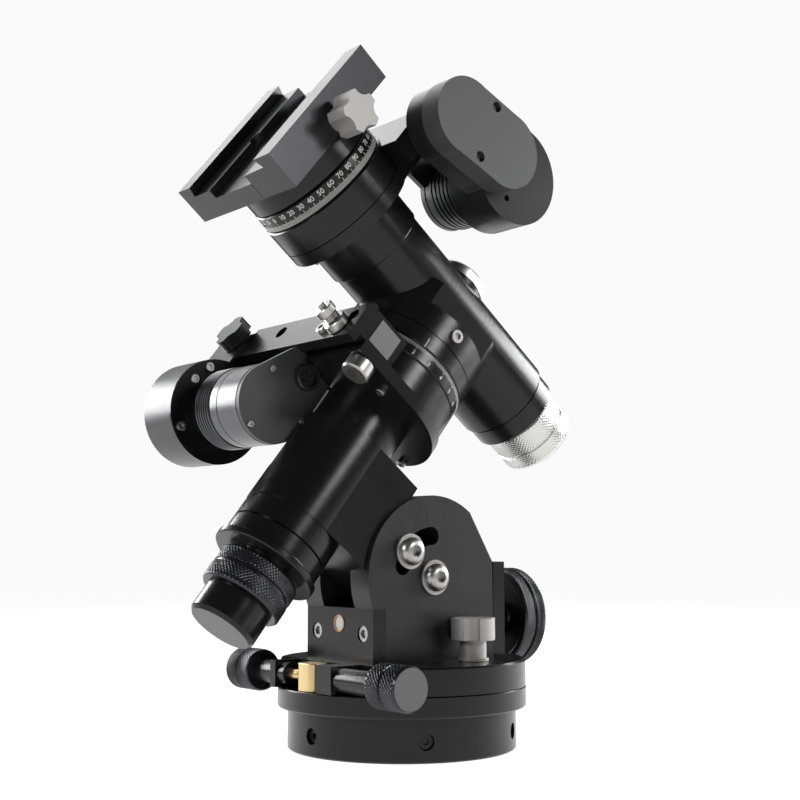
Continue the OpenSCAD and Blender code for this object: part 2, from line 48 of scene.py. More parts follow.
CROSSING = Vector((0.0, 28.6, 293.3)) * MM
EAST = Vector((1.0, 0.0, 0.0))
UP = Vector((0.0, 0.0, 1.0))
POLE = Vector((0.0, math.cos(LATITUDE), math.sin(LATITUDE)))
SADDLE_WARD = Vector((0.0, -math.sin(LATITUDE), math.cos(LATITUDE)))
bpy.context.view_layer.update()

Rows = list[tuple[np.ndarray, float]]
Outline = Sequence[tuple[float, float]]

# Surfaces: shares of a finish's colour, and noise in cycles a metre or in shares of the tool marks.
DARK_SHARE, LIGHT_SHARE = 0.6, 1.4
CLOUD_SCALE, CLOUD_DETAIL = 28.0, 3.0
CLOUD_CONTRAST, CLOUD_SPREAD = 0.5, 0.6
BUMP_DEPTH = 0.4
RING_SHARE, RING_SPECKLE, SPECKLE_SCALE = 0.85, 0.15, 0.3
BRUSH_STRETCH = 0.985
CAST_SCALE, CAST_DETAIL = 0.35, 6.0

# Meshes: angles between faces, and how finely turned parts are divided.
SHARP_ANGLE = math.radians(32)
BEVEL_ANGLE = math.radians(35)
COLUMNS_PER_DIAMOND = 4
CREST_SLOPE = 1.7
COIL_STEPS = 24

# Screw heads: outlines as shares of the radius and the height, and the hexagon socket's rim and floor.
CAP_PROFILE = ((0.94, 0.0), (1.0, 0.08), (1.0, 0.88), (0.9, 1.0))
DOME_PROFILE = ((1.0, 0.0), (1.0, 0.16), (0.97, 0.4), (0.88, 0.68), (0.7, 0.92))
HEAD_DIAMONDS = 12
HEAD_COLUMNS = COLUMNS_PER_DIAMOND * HEAD_DIAMONDS
SOCKET_RIM, SOCKET_FLOOR = 1.16, 0.4


def axes(x: Vector, y: Vector, z: Vector, origin: Vector) -> Matrix:
    """Returns the matrix of a local frame from its three axes and its origin in metres."""
    return Matrix((x, y, z)).transposed().to_4x4() + Matrix.Translation(origin) - Matrix.Identity(4)


def at(x: float, p: float, u: float) -> Vector:
    """Returns the point at x, p along the polar axis and u towards the saddle, all in millimetres."""
    return CROSSING + (EAST * x + POLE * p + SADDLE_WARD * u) * MM


POLAR = axes(EAST, -SADDLE_WARD, POLE, CROSSING)
HEAD = axes(EAST, POLE, SADDLE_WARD, CROSSING)


def eastward(x: float, p: float, u: float) -> Matrix:
    """Returns a frame at that point of the head whose z axis points east and whose x axis is u."""
    return axes(SADDLE_WARD, -POLE, EAST, at(x, p, u))


def westward(x: float, p: float, u: float) -> Matrix:
    """Returns a frame at that point of the head whose z axis points west."""
    return axes(SADDLE_WARD, POLE, -EAST, at(x, p, u))


# ---------------------------------------------------------------- shader maths


class Value:
    """A shader socket that can be used in sums and products; each operator adds one Math node."""

    def __init__(self, graph: "Graph", socket: Any) -> None:
        """Keeps the graph that owns the socket."""
        self.graph = graph
        self.socket = socket

    def _math(self, operation: str, first: Any, second: Any) -> "Value":
        """Adds a Math node.

        Args:
            operation: the Math node's operation.
            first: the first operand, a Value or a number.
            second: the second operand, a Value or a number.

        Returns:
            The node's result.
        """
        return self.graph.out("ShaderNodeMath", {"operation": operation}, {0: first, 1: second})

    def __add__(self, other: Any) -> "Value":
        """Returns self + other."""
        return self._math("ADD", self, other)

    __radd__ = __add__

    def __sub__(self, other: Any) -> "Value":
        """Returns self - other."""
        return self._math("SUBTRACT", self, other)

    def __rsub__(self, other: Any) -> "Value":
        """Returns other - self."""
        return self._math("SUBTRACT", other, self)

    def __mul__(self, other: Any) -> "Value":
        """Returns self * other."""
        return self._math("MULTIPLY", self, other)

    __rmul__ = __mul__


class Graph:
    """The node tree of a material or of the world."""

    def __init__(self, owner: Any) -> None:
        """Switches the owner's nodes on and keeps their tree."""
        owner.use_nodes = True
        self.tree = owner.node_tree

    def node(self, kind: str, settings: dict[str, Any], inputs: dict[Any, Any]) -> Any:
        """Adds a node.

        Args:
            kind: the node's type name.
            settings: the node's own properties, set before its sockets are filled.
            inputs: a value, or a Value to link, for each named or numbered socket.

        Returns:
            The new node.
        """
        made = self.tree.nodes.new(kind)
        for name, setting in settings.items():
            if name == "stops":
                for element, (place, colour) in zip(self._stops(made, len(setting)), setting):
                    element.position = place
                    element.color = (colour, colour, colour, 1.0)
            else:
                setattr(made, name, setting)
        for name, value in inputs.items():
            self.feed(made.inputs[name], value)
        return made

    @staticmethod
    def _stops(ramp: Any, count: int) -> list[Any]:
        """Returns the ramp's colour stops, after adding what is missing up to count."""
        while len(ramp.color_ramp.elements) < count:
            ramp.color_ramp.elements.new(0.5)
        return list(ramp.color_ramp.elements)

    def feed(self, socket: Any, value: Any) -> None:
        """Links a Value to the socket, or sets the socket to a plain value."""
        if isinstance(value, Value):
            self.tree.links.new(value.socket, socket)
        else:
            socket.default_value = value

    def out(self, kind: str, settings: dict[str, Any], inputs: dict[Any, Any], output: Any = 0) -> Value:
        """Adds a node and returns one of its outputs.

        Args:
            kind: the node's type name.
            settings: the node's own properties.
            inputs: values or Values for its sockets.
            output: the output's name or number.

        Returns:
            The output as a Value.
        """
        return Value(self, self.node(kind, settings, inputs).outputs[output])

    def noise(self, vector: Value, scale: float, detail: float = 2.0) -> Value:
        """Returns three-dimensional noise from 0 to 1 at that many cycles a metre."""
        return self.out(
            "ShaderNodeTexNoise", {"noise_dimensions": "3D"},
            {"Vector": vector, "Scale": scale, "Detail": detail, "Roughness": 0.6},
        )

    def place(self) -> Value:
        """Returns the position in the object's own space."""
        return self.out("ShaderNodeTexCoord", {}, {}, "Object")

    def dot(self, vector: Value, axis: Vector) -> Value:
        """Returns the length of vector along axis."""
        return self.out(
            "ShaderNodeVectorMath", {"operation": "DOT_PRODUCT"}, {0: vector, 1: tuple(axis)}, "Value"
        )

    def scaled(self, axis: Vector, length: Value) -> Value:
        """Returns axis times length."""
        return self.out("ShaderNodeVectorMath", {"operation": "SCALE"}, {0: tuple(axis), "Scale": length})

    def total(self, first: Value, second: Value) -> Value:
        """Returns the sum of two vectors."""
        return self.out("ShaderNodeVectorMath", {"operation": "ADD"}, {0: first, 1: second})


class Grain(Enum):
    """How a surface was worked."""

    BLASTED = "fine even speckle"
    CAST = "coarse skin from a mould"
    BRUSHED = "straight lines along the direction"
    TURNED = "rings round the direction"


@dataclass(frozen=True)
class Finish:
    """A metal or plastic surface with its colour, gloss and tool marks."""

    name: str
    colour: tuple[float, float, float]
    metallic: float = 0.0
    roughness: float = 0.35
    spread: float = 0.12
    grain: Grain = Grain.BLASTED
    direction: tuple[float, float, float] = (0.0, 0.0, 1.0)
    pitch: float = 0.25
    bump: float = 0.05
    contrast: float = 0.2
    specular: float = 0.5

    def material(self) -> Any:
        """Returns the material of this finish, made once."""
        known = bpy.data.materials.get(self.name)
        return known if known else self._make()

    def _make(self) -> Any:
        """Builds the node tree and returns the material."""
        made = bpy.data.materials.new(self.name)
        graph = Graph(made)
        place = graph.place()
        marks = self._marks(graph, place)
        clouds = graph.noise(place, CLOUD_SCALE, CLOUD_DETAIL)
        tone = (marks - 0.5) * self.contrast + (clouds - 0.5) * (CLOUD_CONTRAST * self.contrast) + 0.5
        dark = tuple(DARK_SHARE * c for c in self.colour) + (1.0,)
        light = tuple(min(1.0, LIGHT_SHARE * c) for c in self.colour) + (1.0,)
        colour = graph.out(
            "ShaderNodeMix", {"data_type": "RGBA"}, {"Factor": tone, "A": dark, "B": light}, "Result"
        )
        sheen = self.roughness + (marks - 0.5) * self.spread + (clouds - 0.5) * (CLOUD_SPREAD * self.spread)
        normal = graph.out(
            "ShaderNodeBump", {}, {"Height": marks, "Strength": self.bump, "Distance": BUMP_DEPTH * MM}
        )
        shader = graph.tree.nodes["Principled BSDF"].inputs
        graph.feed(shader["Base Color"], colour)
        graph.feed(shader["Roughness"], sheen)
        graph.feed(shader["Normal"], normal)
        graph.feed(shader["Metallic"], self.metallic)
        graph.feed(shader["Specular IOR Level"], self.specular)
        return made

    def _marks(self, graph: Graph, place: Value) -> Value:
        """Returns the height of the tool marks from 0 to 1.

        Args:
            graph: the material's graph.
            place: the position that the marks follow.

        Returns:
            The marks, at about one line for each pitch in millimetres.
        """
        lines = 1.0 / (self.pitch * MM)
        axis = Vector(self.direction)
        if self.grain is Grain.TURNED:
            along = graph.dot(place, axis)
            rings = graph.out(
                "ShaderNodeTexNoise", {"noise_dimensions": "1D"},
                {"W": along, "Scale": lines, "Detail": 3.0},
            )
            return rings * RING_SHARE + graph.noise(place, SPECKLE_SCALE * lines) * RING_SPECKLE
        if self.grain is Grain.BRUSHED:
            along = graph.dot(place, axis)
            stretched = graph.total(place, graph.scaled(axis, along * -BRUSH_STRETCH))
            return graph.noise(stretched, lines, 3.0)
        if self.grain is Grain.CAST:
            return graph.noise(place, CAST_SCALE * lines, CAST_DETAIL)
        return graph.noise(place, lines)


def turned(finish: Finish, axis: Vector, tag: str) -> Finish:
    """Returns the same finish turned on a lathe round axis, under its own name."""
    return replace(finish, name=f"{finish.name}_{tag}", grain=Grain.TURNED, direction=tuple(axis))


def brushed(finish: Finish, axis: Vector, tag: str) -> Finish:
    """Returns the same finish brushed along axis, under its own name."""
    return replace(finish, name=f"{finish.name}_{tag}", grain=Grain.BRUSHED, direction=tuple(axis))


BLACK = Finish(
    "black_anodised", (0.006, 0.006, 0.0065), 0.0, 0.24, 0.14, pitch=0.35, bump=0.1, specular=0.32
)
BLACK_POLAR = turned(BLACK, POLE, "polar")
BLACK_DEC = turned(BLACK, SADDLE_WARD, "declination")
BLACK_BASE = turned(BLACK, UP, "base")
BLACK_PLATE = brushed(
    Finish(
        "black_satin", (0.014, 0.014, 0.015), 0.0, 0.34, 0.2, pitch=0.5, bump=0.2, contrast=0.8,
        specular=0.4
    ),
    UP, "plate"
)
BLACK_EAST = turned(BLACK, EAST, "x")
BLACK_ALONG = brushed(BLACK, EAST, "along")
SLATE = Finish("dark_bead_blasted", (0.04, 0.04, 0.042), 0.1, 0.45, 0.08, pitch=0.22, bump=0.12)
SLATE_SADDLE = brushed(
    Finish("saddle_grey", (0.03, 0.03, 0.032), 0.5, 0.33, 0.16, pitch=0.4, bump=0.14, contrast=0.6),
    POLE, "grain"
)
FACE = Finish("matte_face", (0.11, 0.11, 0.112), 0.2, 0.5, 0.08, pitch=0.2, bump=0.08)
KNURL_BLACK = Finish("black_knurl", (0.045, 0.045, 0.048), 0.85, 0.27, 0.1, pitch=0.2, bump=0.04)
SILVER = Finish("clear_anodised", (0.62, 0.62, 0.6), 1.0, 0.3, 0.12, pitch=0.3, bump=0.05)
SILVER_DEC = turned(SILVER, SADDLE_WARD, "declination")
SILVER_POLAR = turned(SILVER, POLE, "polar")
MOTOR_GREY = turned(
    Finish("motor_barrel", (0.1, 0.1, 0.103), 1.0, 0.3, 0.16, pitch=0.35, bump=0.08, contrast=0.7),
    EAST, "x"
)
CAN_GREY = turned(
    Finish("drive_can", (0.06, 0.06, 0.062), 1.0, 0.34, 0.18, pitch=0.4, bump=0.08, contrast=0.7),
    EAST, "x"
)
DRIVE_BLACK = turned(
    Finish("drive_black", (0.01, 0.01, 0.011), 0.1, 0.3, 0.14, pitch=0.4, bump=0.08), EAST, "x"
)
STEEL = Finish("stainless", (0.42, 0.41, 0.4), 1.0, 0.34, 0.12, pitch=0.3, bump=0.05)
STEEL_EAST = turned(STEEL, EAST, "x")
STEEL_NORTH = turned(STEEL, Vector((0, 1, 0)), "y")
BLACK_SCREW = Finish("black_oxide", (0.02, 0.02, 0.022), 0.6, 0.34, 0.1, pitch=0.2, bump=0.04)
CAST = Finish("cast_aluminium", (0.36, 0.35, 0.335), 0.75, 0.55, 0.16, Grain.CAST, pitch=0.4, bump=0.5)
BRASS = Finish("brass", (0.56, 0.38, 0.16), 1.0, 0.3, 0.14, pitch=0.3, bump=0.05, contrast=0.4)
BRONZE = Finish("bronze", (0.42, 0.22, 0.12), 1.0, 0.3, 0.1, pitch=0.3, bump=0.05)
PAINT = Finish("white_fill", (0.6, 0.6, 0.58), 0.0, 0.5, 0.06, pitch=0.2, bump=0.02)
PLASTIC = Finish("connector_plastic", (0.01, 0.01, 0.011), 0.0, 0.32, 0.08, pitch=0.3, bump=0.03)


# ---------------------------------------------------------------- meshes


@dataclass(frozen=True)
class Knurl:
    """A diamond-knurled stretch of a turned part, in millimetres."""

    radius: float
    start: float
    end: float
    depth: float = 0.8


class Shape:
    """Points and faces in metres, gathered from simple operations and then made into one piece."""

    def __init__(self) -> None:
        """Starts empty."""
        self.points: list[np.ndarray] = []
        self.faces: list[tuple[int, ...]] = []
        self.count = 0

    def add(self, points: np.ndarray, faces: Iterable[Sequence[int]], where: Matrix) -> "Shape":
        """Adds points in millimetres of a local frame.

        Args:
            points: an array with a row for each point.
            faces: corner numbers of each face.
            where: the local frame.

        Returns:
            This shape.
        """
        matrix = np.array(where)
        placed = points * MM @ matrix[:3, :3].T + matrix[:3, 3]
        self.points.append(placed)
        self.faces += [tuple(self.count + i for i in face) for face in faces]
        self.count += len(points)
        return self

    def lathe(self, profile: Sequence[Any], where: Matrix, diamonds: int = 24,
              hollow: bool = False) -> "Shape":
        """Adds a turned part round the local z axis.

        Args:
            profile: (radius, height) pairs and Knurl stretches, from one end to the other.
            where: the local frame.
            diamonds: knurl diamonds round the part, each with its columns of faces.
            hollow: joins the last ring to the first in place of closing both ends.

        Returns:
            This shape.
        """
        columns = COLUMNS_PER_DIAMOND * diamonds
        rows = self._rows(profile, diamonds, columns)
        angles = 2 * math.pi * np.arange(columns) / columns
        points = np.concatenate([
            np.stack([radius * np.cos(angles), radius * np.sin(angles), np.full(columns, height)], 1)
            for radius, height in rows
        ])
        faces: list[Sequence[int]] = []
        last = len(rows) if hollow else len(rows) - 1
        for row in range(last):
            here = row * columns
            there = (row + 1) % len(rows) * columns
            for i in range(columns):
                j = (i + 1) % columns
                faces.append((here + i, here + j, there + j, there + i))
        if not hollow:
            faces.append(tuple(range(columns))[::-1])
            faces.append(tuple(range((len(rows) - 1) * columns, len(rows) * columns)))
        return self.add(points, faces, where)

    @staticmethod
    def _rows(profile: Sequence[Any], diamonds: int, columns: int) -> Rows:
        """Returns a ring of radii and its height for each row of the profile."""
        rows: Rows = []
        turn = diamonds * np.arange(columns) / columns
        for item in profile:
            if not isinstance(item, Knurl):
                rows.append((np.full(columns, item[0]), item[1]))
                continue
            pitch = 2 * math.pi * item.radius / diamonds
            steps = max(2, round(abs(item.end - item.start) / pitch * COLUMNS_PER_DIAMOND))
            for height in np.linspace(item.start, item.end, steps + 1):
                rise = np.minimum(_wave(turn + height / pitch), _wave(turn - height / pitch))
                cut = item.depth * (1 - np.minimum(1, CREST_SLOPE * rise))
                rows.append((item.radius - cut, float(height)))
        return rows

    def prism(self, outline: Outline, low: float, high: float, where: Matrix) -> "Shape":
        """Adds an outline, anticlockwise in the local x-y plane, raised from low to high."""
        count = len(outline)
        points = np.array([(x, y, z) for z in (low, high) for x, y in outline], float)
        faces = [(i, (i + 1) % count, count + (i + 1) % count, count + i) for i in range(count)]
        faces += [tuple(range(count))[::-1], tuple(range(count, 2 * count))]
        return self.add(points, faces, where)

    def coil(self, radius: float, wire: float, low: float, high: float, turns: float,
             where: Matrix) -> "Shape":
        """Adds a helical spring about the local z axis between two heights."""
        sides = 10
        steps = int(turns * COIL_STEPS)
        t = np.linspace(0, 1, steps + 1)
        angle = 2 * math.pi * turns * t
        centre = np.stack([radius * np.cos(angle), radius * np.sin(angle), low + (high - low) * t], 1)
        out = np.stack([np.cos(angle), np.sin(angle), np.zeros_like(angle)], 1)
        points = np.concatenate([
            centre + wire * (out * math.cos(2 * math.pi * s / sides)
                             + np.array([0, 0, 1]) * math.sin(2 * math.pi * s / sides))
            for s in range(sides)
        ])
        ring = steps + 1
        faces: list[Sequence[int]] = [
            (s * ring + i, s * ring + i + 1, (s + 1) % sides * ring + i + 1, (s + 1) % sides * ring + i)
            for s in range(sides) for i in range(steps)
        ]
        faces.append([s * ring for s in range(sides)])
        faces.append([s * ring + steps for s in range(sides)][::-1])
        return self.add(points, faces, where)

    def make(self, name: str, finish: Finish, body: str, slot: str, bevel: float = 0.0,
             stands_for: Sequence[str] = ()) -> Any:
        """Makes the piece, and says what it rides on and what it stands for.

        Args:
            name: the piece's name.
            finish: its finish.
            body: the body that it moves with.
            slot: not used.
            bevel: the width of its rounded edges in millimetres, or 0 for none.
            stands_for: frame nodes that it replaces.

        Returns:
            The new object.
        """
        mesh = bpy.data.meshes.new(name)
        mesh.from_pydata(np.concatenate(self.points).tolist(), [], self.faces)
        mesh.validate()
        editable = bmesh.new()
        editable.from_mesh(mesh)
        bmesh.ops.recalc_face_normals(editable, faces=editable.faces)
        editable.to_mesh(mesh)
        editable.free()
        mesh.polygons.foreach_set("use_smooth", [True] * len(mesh.polygons))
        mesh.set_sharp_from_angle(angle=SHARP_ANGLE)
        piece = bpy.data.objects.new(name, mesh)
        bpy.context.scene.collection.objects.link(piece)
        mesh.materials.append(finish.material())
        if bevel:
            round_edges(piece, bevel)
        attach(piece, body)
        if stands_for:
            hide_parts(*stands_for)
        LOG.info("made %s", name)
        return piece


def _wave(t: np.ndarray) -> np.ndarray:
    """Returns a triangle wave, 0 at whole numbers and 1 halfway between them."""
    return 1 - np.abs(2 * np.mod(t, 1.0) - 1)


def wrapped(points: Iterable[tuple[float, float]]) -> list[tuple[float, float]]:
    """Returns the outline of a string pulled tight round the points, anticlockwise."""
    ordered = sorted(set(points))

    def half(run: Iterable[tuple[float, float]]) -> list[tuple[float, float]]:
        """Returns one side of the outline, without its last point."""
        chain: list[tuple[float, float]] = []
        for x, y in run:
            while len(chain) > 1 and _turn(chain[-2], chain[-1], (x, y)) <= 0:
                chain.pop()
            chain.append((x, y))
        return chain[:-1]

    return half(ordered) + half(reversed(ordered))


def _turn(a: tuple[float, float], b: tuple[float, float], c: tuple[float, float]) -> float:
    """Returns a positive number where a, b, c turn left."""
    return (b[0] - a[0]) * (c[1] - a[1]) - (b[1] - a[1]) * (c[0] - a[0])


def round_edges(piece: Any, width: float) -> None:
    """Adds a small bevel, its width in millimetres, along the sharp edges of a piece."""
    bevel = piece.modifiers.new("edges", "BEVEL")
    bevel.width = width * MM
    bevel.segments = 2
    bevel.limit_method = "ANGLE"
    bevel.angle_limit = BEVEL_ANGLE
    bevel.use_clamp_overlap = True
    bevel.harden_normals = True


def polygon(sides: int, radius: float, turn: float = 0.0) -> list[tuple[float, float]]:
    """Returns a regular outline with that many sides round the origin."""
    step = 2 * math.pi / sides
    return [(radius * math.cos(turn + step * i), radius * math.sin(turn + step * i)) for i in range(sides)]


def socket_head(shape: Shape, where: Matrix, radius: float, height: float, key_share: float = 0.5,
                profile: Outline = CAP_PROFILE) -> None:
    """Adds a screw head with a hexagon socket, its seat at the local origin.

    Args:
        shape: the shape that it joins.
        where: its local frame.
        radius: the head's radius.
        height: the head's height.
        key_share: the socket's half width as a share of the radius.
        profile: the head's outline as shares of the radius and the height.
    """
    key = key_share * radius
    outline = [(radius * r, height * z) for r, z in profile] + [(key * SOCKET_RIM, height)]
    shape.lathe(outline, where, HEAD_DIAMONDS)
    shape.faces.pop()
    top = shape.count - HEAD_COLUMNS
    circle = polygon(HEAD_COLUMNS, 1.0)
    reach = [key / max(abs(math.cos(math.atan2(y, x) - math.radians(60 * k))) for k in range(6))
             for x, y in circle]
    rim = [(x * r, y * r) for (x, y), r in zip(circle, reach)]
    points = np.array([(x, y, z) for z in (height, SOCKET_FLOOR * height) for x, y in rim], float)
    base = shape.count
    floor = base + HEAD_COLUMNS
    shape.add(points, [], where)
    for i in range(HEAD_COLUMNS):
        j = (i + 1) % HEAD_COLUMNS
        shape.faces.append((top + i, top + j, base + j, base + i))
        shape.faces.append((base + i, base + j, floor + j, floor + i))
    shape.faces.append(tuple(range(floor, floor + HEAD_COLUMNS)))


def end_face(name: str, where: Matrix, radius: float, height: float, body: str) -> None:
    """Makes the plain matte disc at the end of a knob, at that height of the local frame."""
    disc = Shape().lathe([(radius, height - 0.4), (radius, height + 0.1), (0.5, height + 0.12)], where)
    disc.make(name, FACE, body, "knob_black")


# ---------------------------------------------------------------- engraved scales


@dataclass
class Dial:
    """White marks and numbers round a turned ring."""

    name: str
    body: str
    where: Matrix
    radius: float
    tick_from: float
    tick_sign: float
    number_at: float
    number_height: float
    divisions: int
    long_every: int
    number_every: int
    label: Callable[[int], str]
    start: float
    tick_length: float
    long_share: float = 1.25
    numbered_share: float = 1.2
    tick_half_width: float = 0.13
    sunk: float = 0.2
    raised: float = 0.1
    text_size: float = 1.35
    text_half_depth: float = 0.11

    def _angle(self, division: float) -> float:
        """Returns the angle of a division in radians."""
        return self.start + 2 * math.pi * division / self.divisions

    def build(self) -> None:
        """Makes the marks and the numbers as two pieces."""
        marks = Shape()
        for i in range(self.divisions):
            length = self.tick_length
            if i % self.long_every == 0:
                length *= self.long_share
            if i % self.number_every == 0:
                length *= self.numbered_share
            self._tick(marks, self._angle(i), length)
        marks.make(f"{self.name}_marks", PAINT, self.body, "dial_black")
        numbers = Shape()
        for i in range(0, self.divisions, self.number_every):
            self._number(numbers, self.label(i), self._angle(i))
        numbers.make(f"{self.name}_numbers", PAINT, self.body, "dial_black")

    def _tick(self, marks: Shape, angle: float, length: float) -> None:
        """Adds one mark of that length at that angle."""
        half = self.tick_half_width / self.radius
        low, high = sorted((self.tick_from, self.tick_from + self.tick_sign * length))
        corners = [
            (r * math.cos(angle + side * half), r * math.sin(angle + side * half), z)
            for z in (low, high) for r in (self.radius - self.sunk, self.radius + self.raised)
            for side in (-1, 1)
        ]
        faces = [(0, 1, 3, 2), (4, 6, 7, 5), (0, 4, 5, 1), (2, 3, 7, 6), (0, 2, 6, 4), (1, 5, 7, 3)]
        marks.add(np.array(corners), faces, self.where)

    def _number(self, numbers: Shape, words: str, angle: float) -> None:
        """Adds one number bent round the ring."""
        curve = bpy.data.curves.new("number", "FONT")
        curve.body = words
        curve.size = self.number_height * self.text_size
        curve.extrude = self.text_half_depth
        curve.align_x = "CENTER"
        curve.resolution_u = 3
        shown = bpy.data.objects.new("number", curve)
        mesh = bpy.data.meshes.new_from_object(shown)
        points = []
        for vertex in mesh.vertices:
            x, y, z = vertex.co
            a = angle + x / self.radius
            height = self.number_at + y - self.number_height / 2
            r = self.radius + z
            points.append((r * math.cos(a), r * math.sin(a), height))
        numbers.add(np.array(points), [tuple(f.vertices) for f in mesh.polygons], self.where)
        bpy.data.objects.remove(shown)
        bpy.data.curves.remove(curve)
        bpy.data.meshes.remove(mesh)


# ---------------------------------------------------------------- sub-assemblies


@dataclass
class Base:
    """The foot: adapter ring, flange, radial screws and the brass anchor."""

    edge: float = 0.5
    block_half: tuple[float, float] = (9.4, 7.0)
    block_corner: float = 5.0
    block_y: float = -73.0
    block_z: tuple[float, float] = (40.7, 58.5)

    def build(self) -> None:
        """Dresses the frame nodes of the foot and makes the brass block, whose corners are rounded."""
        dress({
            "adapter_ring": (BLACK_BASE, self.edge), "base_flange": (BLACK_BASE, 0.4),
            "base_screws": (BLACK_SCREW, 0.2),
        })
        x, y = (half - self.block_corner for half in self.block_half)
        outline = wrapped(
            (side * x + self.block_corner * c, end * y + self.block_y + self.block_corner * s)
            for side in (1, -1) for end in (1, -1) for c, s in polygon(32, 1.0)
        )
        block = Shape().prism(outline, *self.block_z, Matrix.Identity(4))
        block.make("azimuth_anchor_block", BRASS, "base", "brass", bevel=0.6, stands_for=["azimuth_anchor"])


@dataclass
class AzimuthFrame:
    """The turning disc, side plates, adjusting screws and the altitude screw."""

    edge: float = 0.5
    screw_y: float = -72.0
    screw_z: float = 49.65
    rod: float = 7.6
    knob: float = 14.0
    altitude_z: float = 82.7
    altitude_knob: float = 34.5
    dome: tuple[float, float, float] = (9.3, 6.1, 0.37)

    def build(self) -> None:
        """Dresses the frame and makes its knurled knobs."""
        dress({
            "turn_disc": (BLACK_BASE, self.edge), "adjuster_frame": (BLACK_ALONG, self.edge),
            "side_plate_west": (BLACK_PLATE, self.edge), "side_plate_east": (BLACK_PLATE, self.edge),
            "south_block": (BLACK_ALONG, self.edge), "north_plate": (BLACK_ALONG, self.edge),
            "frame_bolts": (STEEL_EAST, 0.25), "altitude_bush": (BRONZE, 0.1),
            "altitude_screw": (STEEL_NORTH, 0.1), "altitude_nut": (BRASS, 0.3),
            "lock_knob_west": (CAST, 1.2), "lock_knob_east": (CAST, 1.2),
        })
        self._azimuth_screw("west", -EAST, neck=24.0, near=59.0, far=86.0)
        self._azimuth_screw("east", EAST, neck=26.0, near=70.0, far=98.0)
        self._altitude_knob()
        self._bolt_heads()

    def _azimuth_screw(self, side: str, out: Vector, neck: float, near: float, far: float) -> None:
        """Makes one adjusting screw.

        Args:
            side: west or east.
            out: the direction that the screw points.
            neck: where its thick neck starts, from the middle.
            near: where its knob starts.
            far: where its knob ends.
        """
        where = axes(UP, out.cross(UP), out, Vector((0, self.screw_y, self.screw_z)) * MM)
        rod = Shape().lathe(
            [(2, neck), (self.rod - 0.6, neck), (self.rod, neck + 0.6), (self.rod, near + 1)], where)
        rod.make(f"azimuth_neck_{side}", BLACK_EAST, f"azimuth_screw_{side}", "knob_black",
                 stands_for=[f"azimuth_screw_{side}"])
        tip = Shape().lathe([(2.2, 10.2), (2.9, 10.8), (3.2, 11.4), (3.2, neck + 1)], where)
        tip.make(f"azimuth_tip_{side}", BRASS, f"azimuth_screw_{side}", "brass")
        r = self.knob
        middle = 0.5 * (near + far)
        end_face(f"azimuth_face_{side}", where, r - 1.5, far, f"azimuth_screw_{side}")
        knob = Shape().lathe(
            [(self.rod + 0.3, near), (r - 1.2, near), (r - 0.5, near + 0.7),
             Knurl(r, near + 1.2, middle - 1.0, 0.75), (r - 1.3, middle - 0.6), (r - 1.3, middle + 0.6),
             Knurl(r, middle + 1.0, far - 1.6, 0.75), (r - 0.6, far - 1.0),
             (r - 1.2, far), (2, far)], where, 32)
        knob.make(f"azimuth_knob_{side}", KNURL_BLACK, f"azimuth_screw_{side}", "knob_black")

    def _altitude_knob(self) -> None:
        """Makes the large altitude knob with its recessed south face and grooved rim."""
        r = self.altitude_knob
        where = axes(EAST, -UP, Vector((0, 1, 0)), Vector((0, 0, self.altitude_z)) * MM)
        knob = Shape().lathe(
            [(4.7, 61.6), (11.3, 61.6), (12, 62.3), (12, 87), (13, 88), (r - 6, 88), (r - 5, 87),
             (r - 5, 84.3), (r - 4.6, 84), (r - 1.4, 84), (r - 0.6, 84.9), Knurl(r, 85.6, 92.6, 0.8),
             (r - 1.6, 93.3), (r - 1.6, 94.7), Knurl(r, 95.4, 102.4, 0.8), (r - 0.6, 103.1),
             (r - 1.4, 104), (14, 104), (13.4, 103.4), (2, 103.4)], where, 80)
        knob.make("altitude_hand_knob", KNURL_BLACK, "altitude_screw", "knob_black",
                  stands_for=["altitude_knob"])

    def _bolt_heads(self) -> None:
        """Makes the domed heads over the pivot bolt and over the locking bolt in its slot."""
        for name, body, x, p, u in (("pivot_heads", "azimuth_frame", 38.0, -160.124, -90.034),
                                    ("lock_heads", "polar_housing", 38.3, -160.124, -63.034)):
            heads = Shape()
            socket_head(heads, eastward(x, p, u), *self.dome, DOME_PROFILE)
            socket_head(heads, westward(-x, p, u), *self.dome, DOME_PROFILE)
            heads.make(name, STEEL, body, "steel")


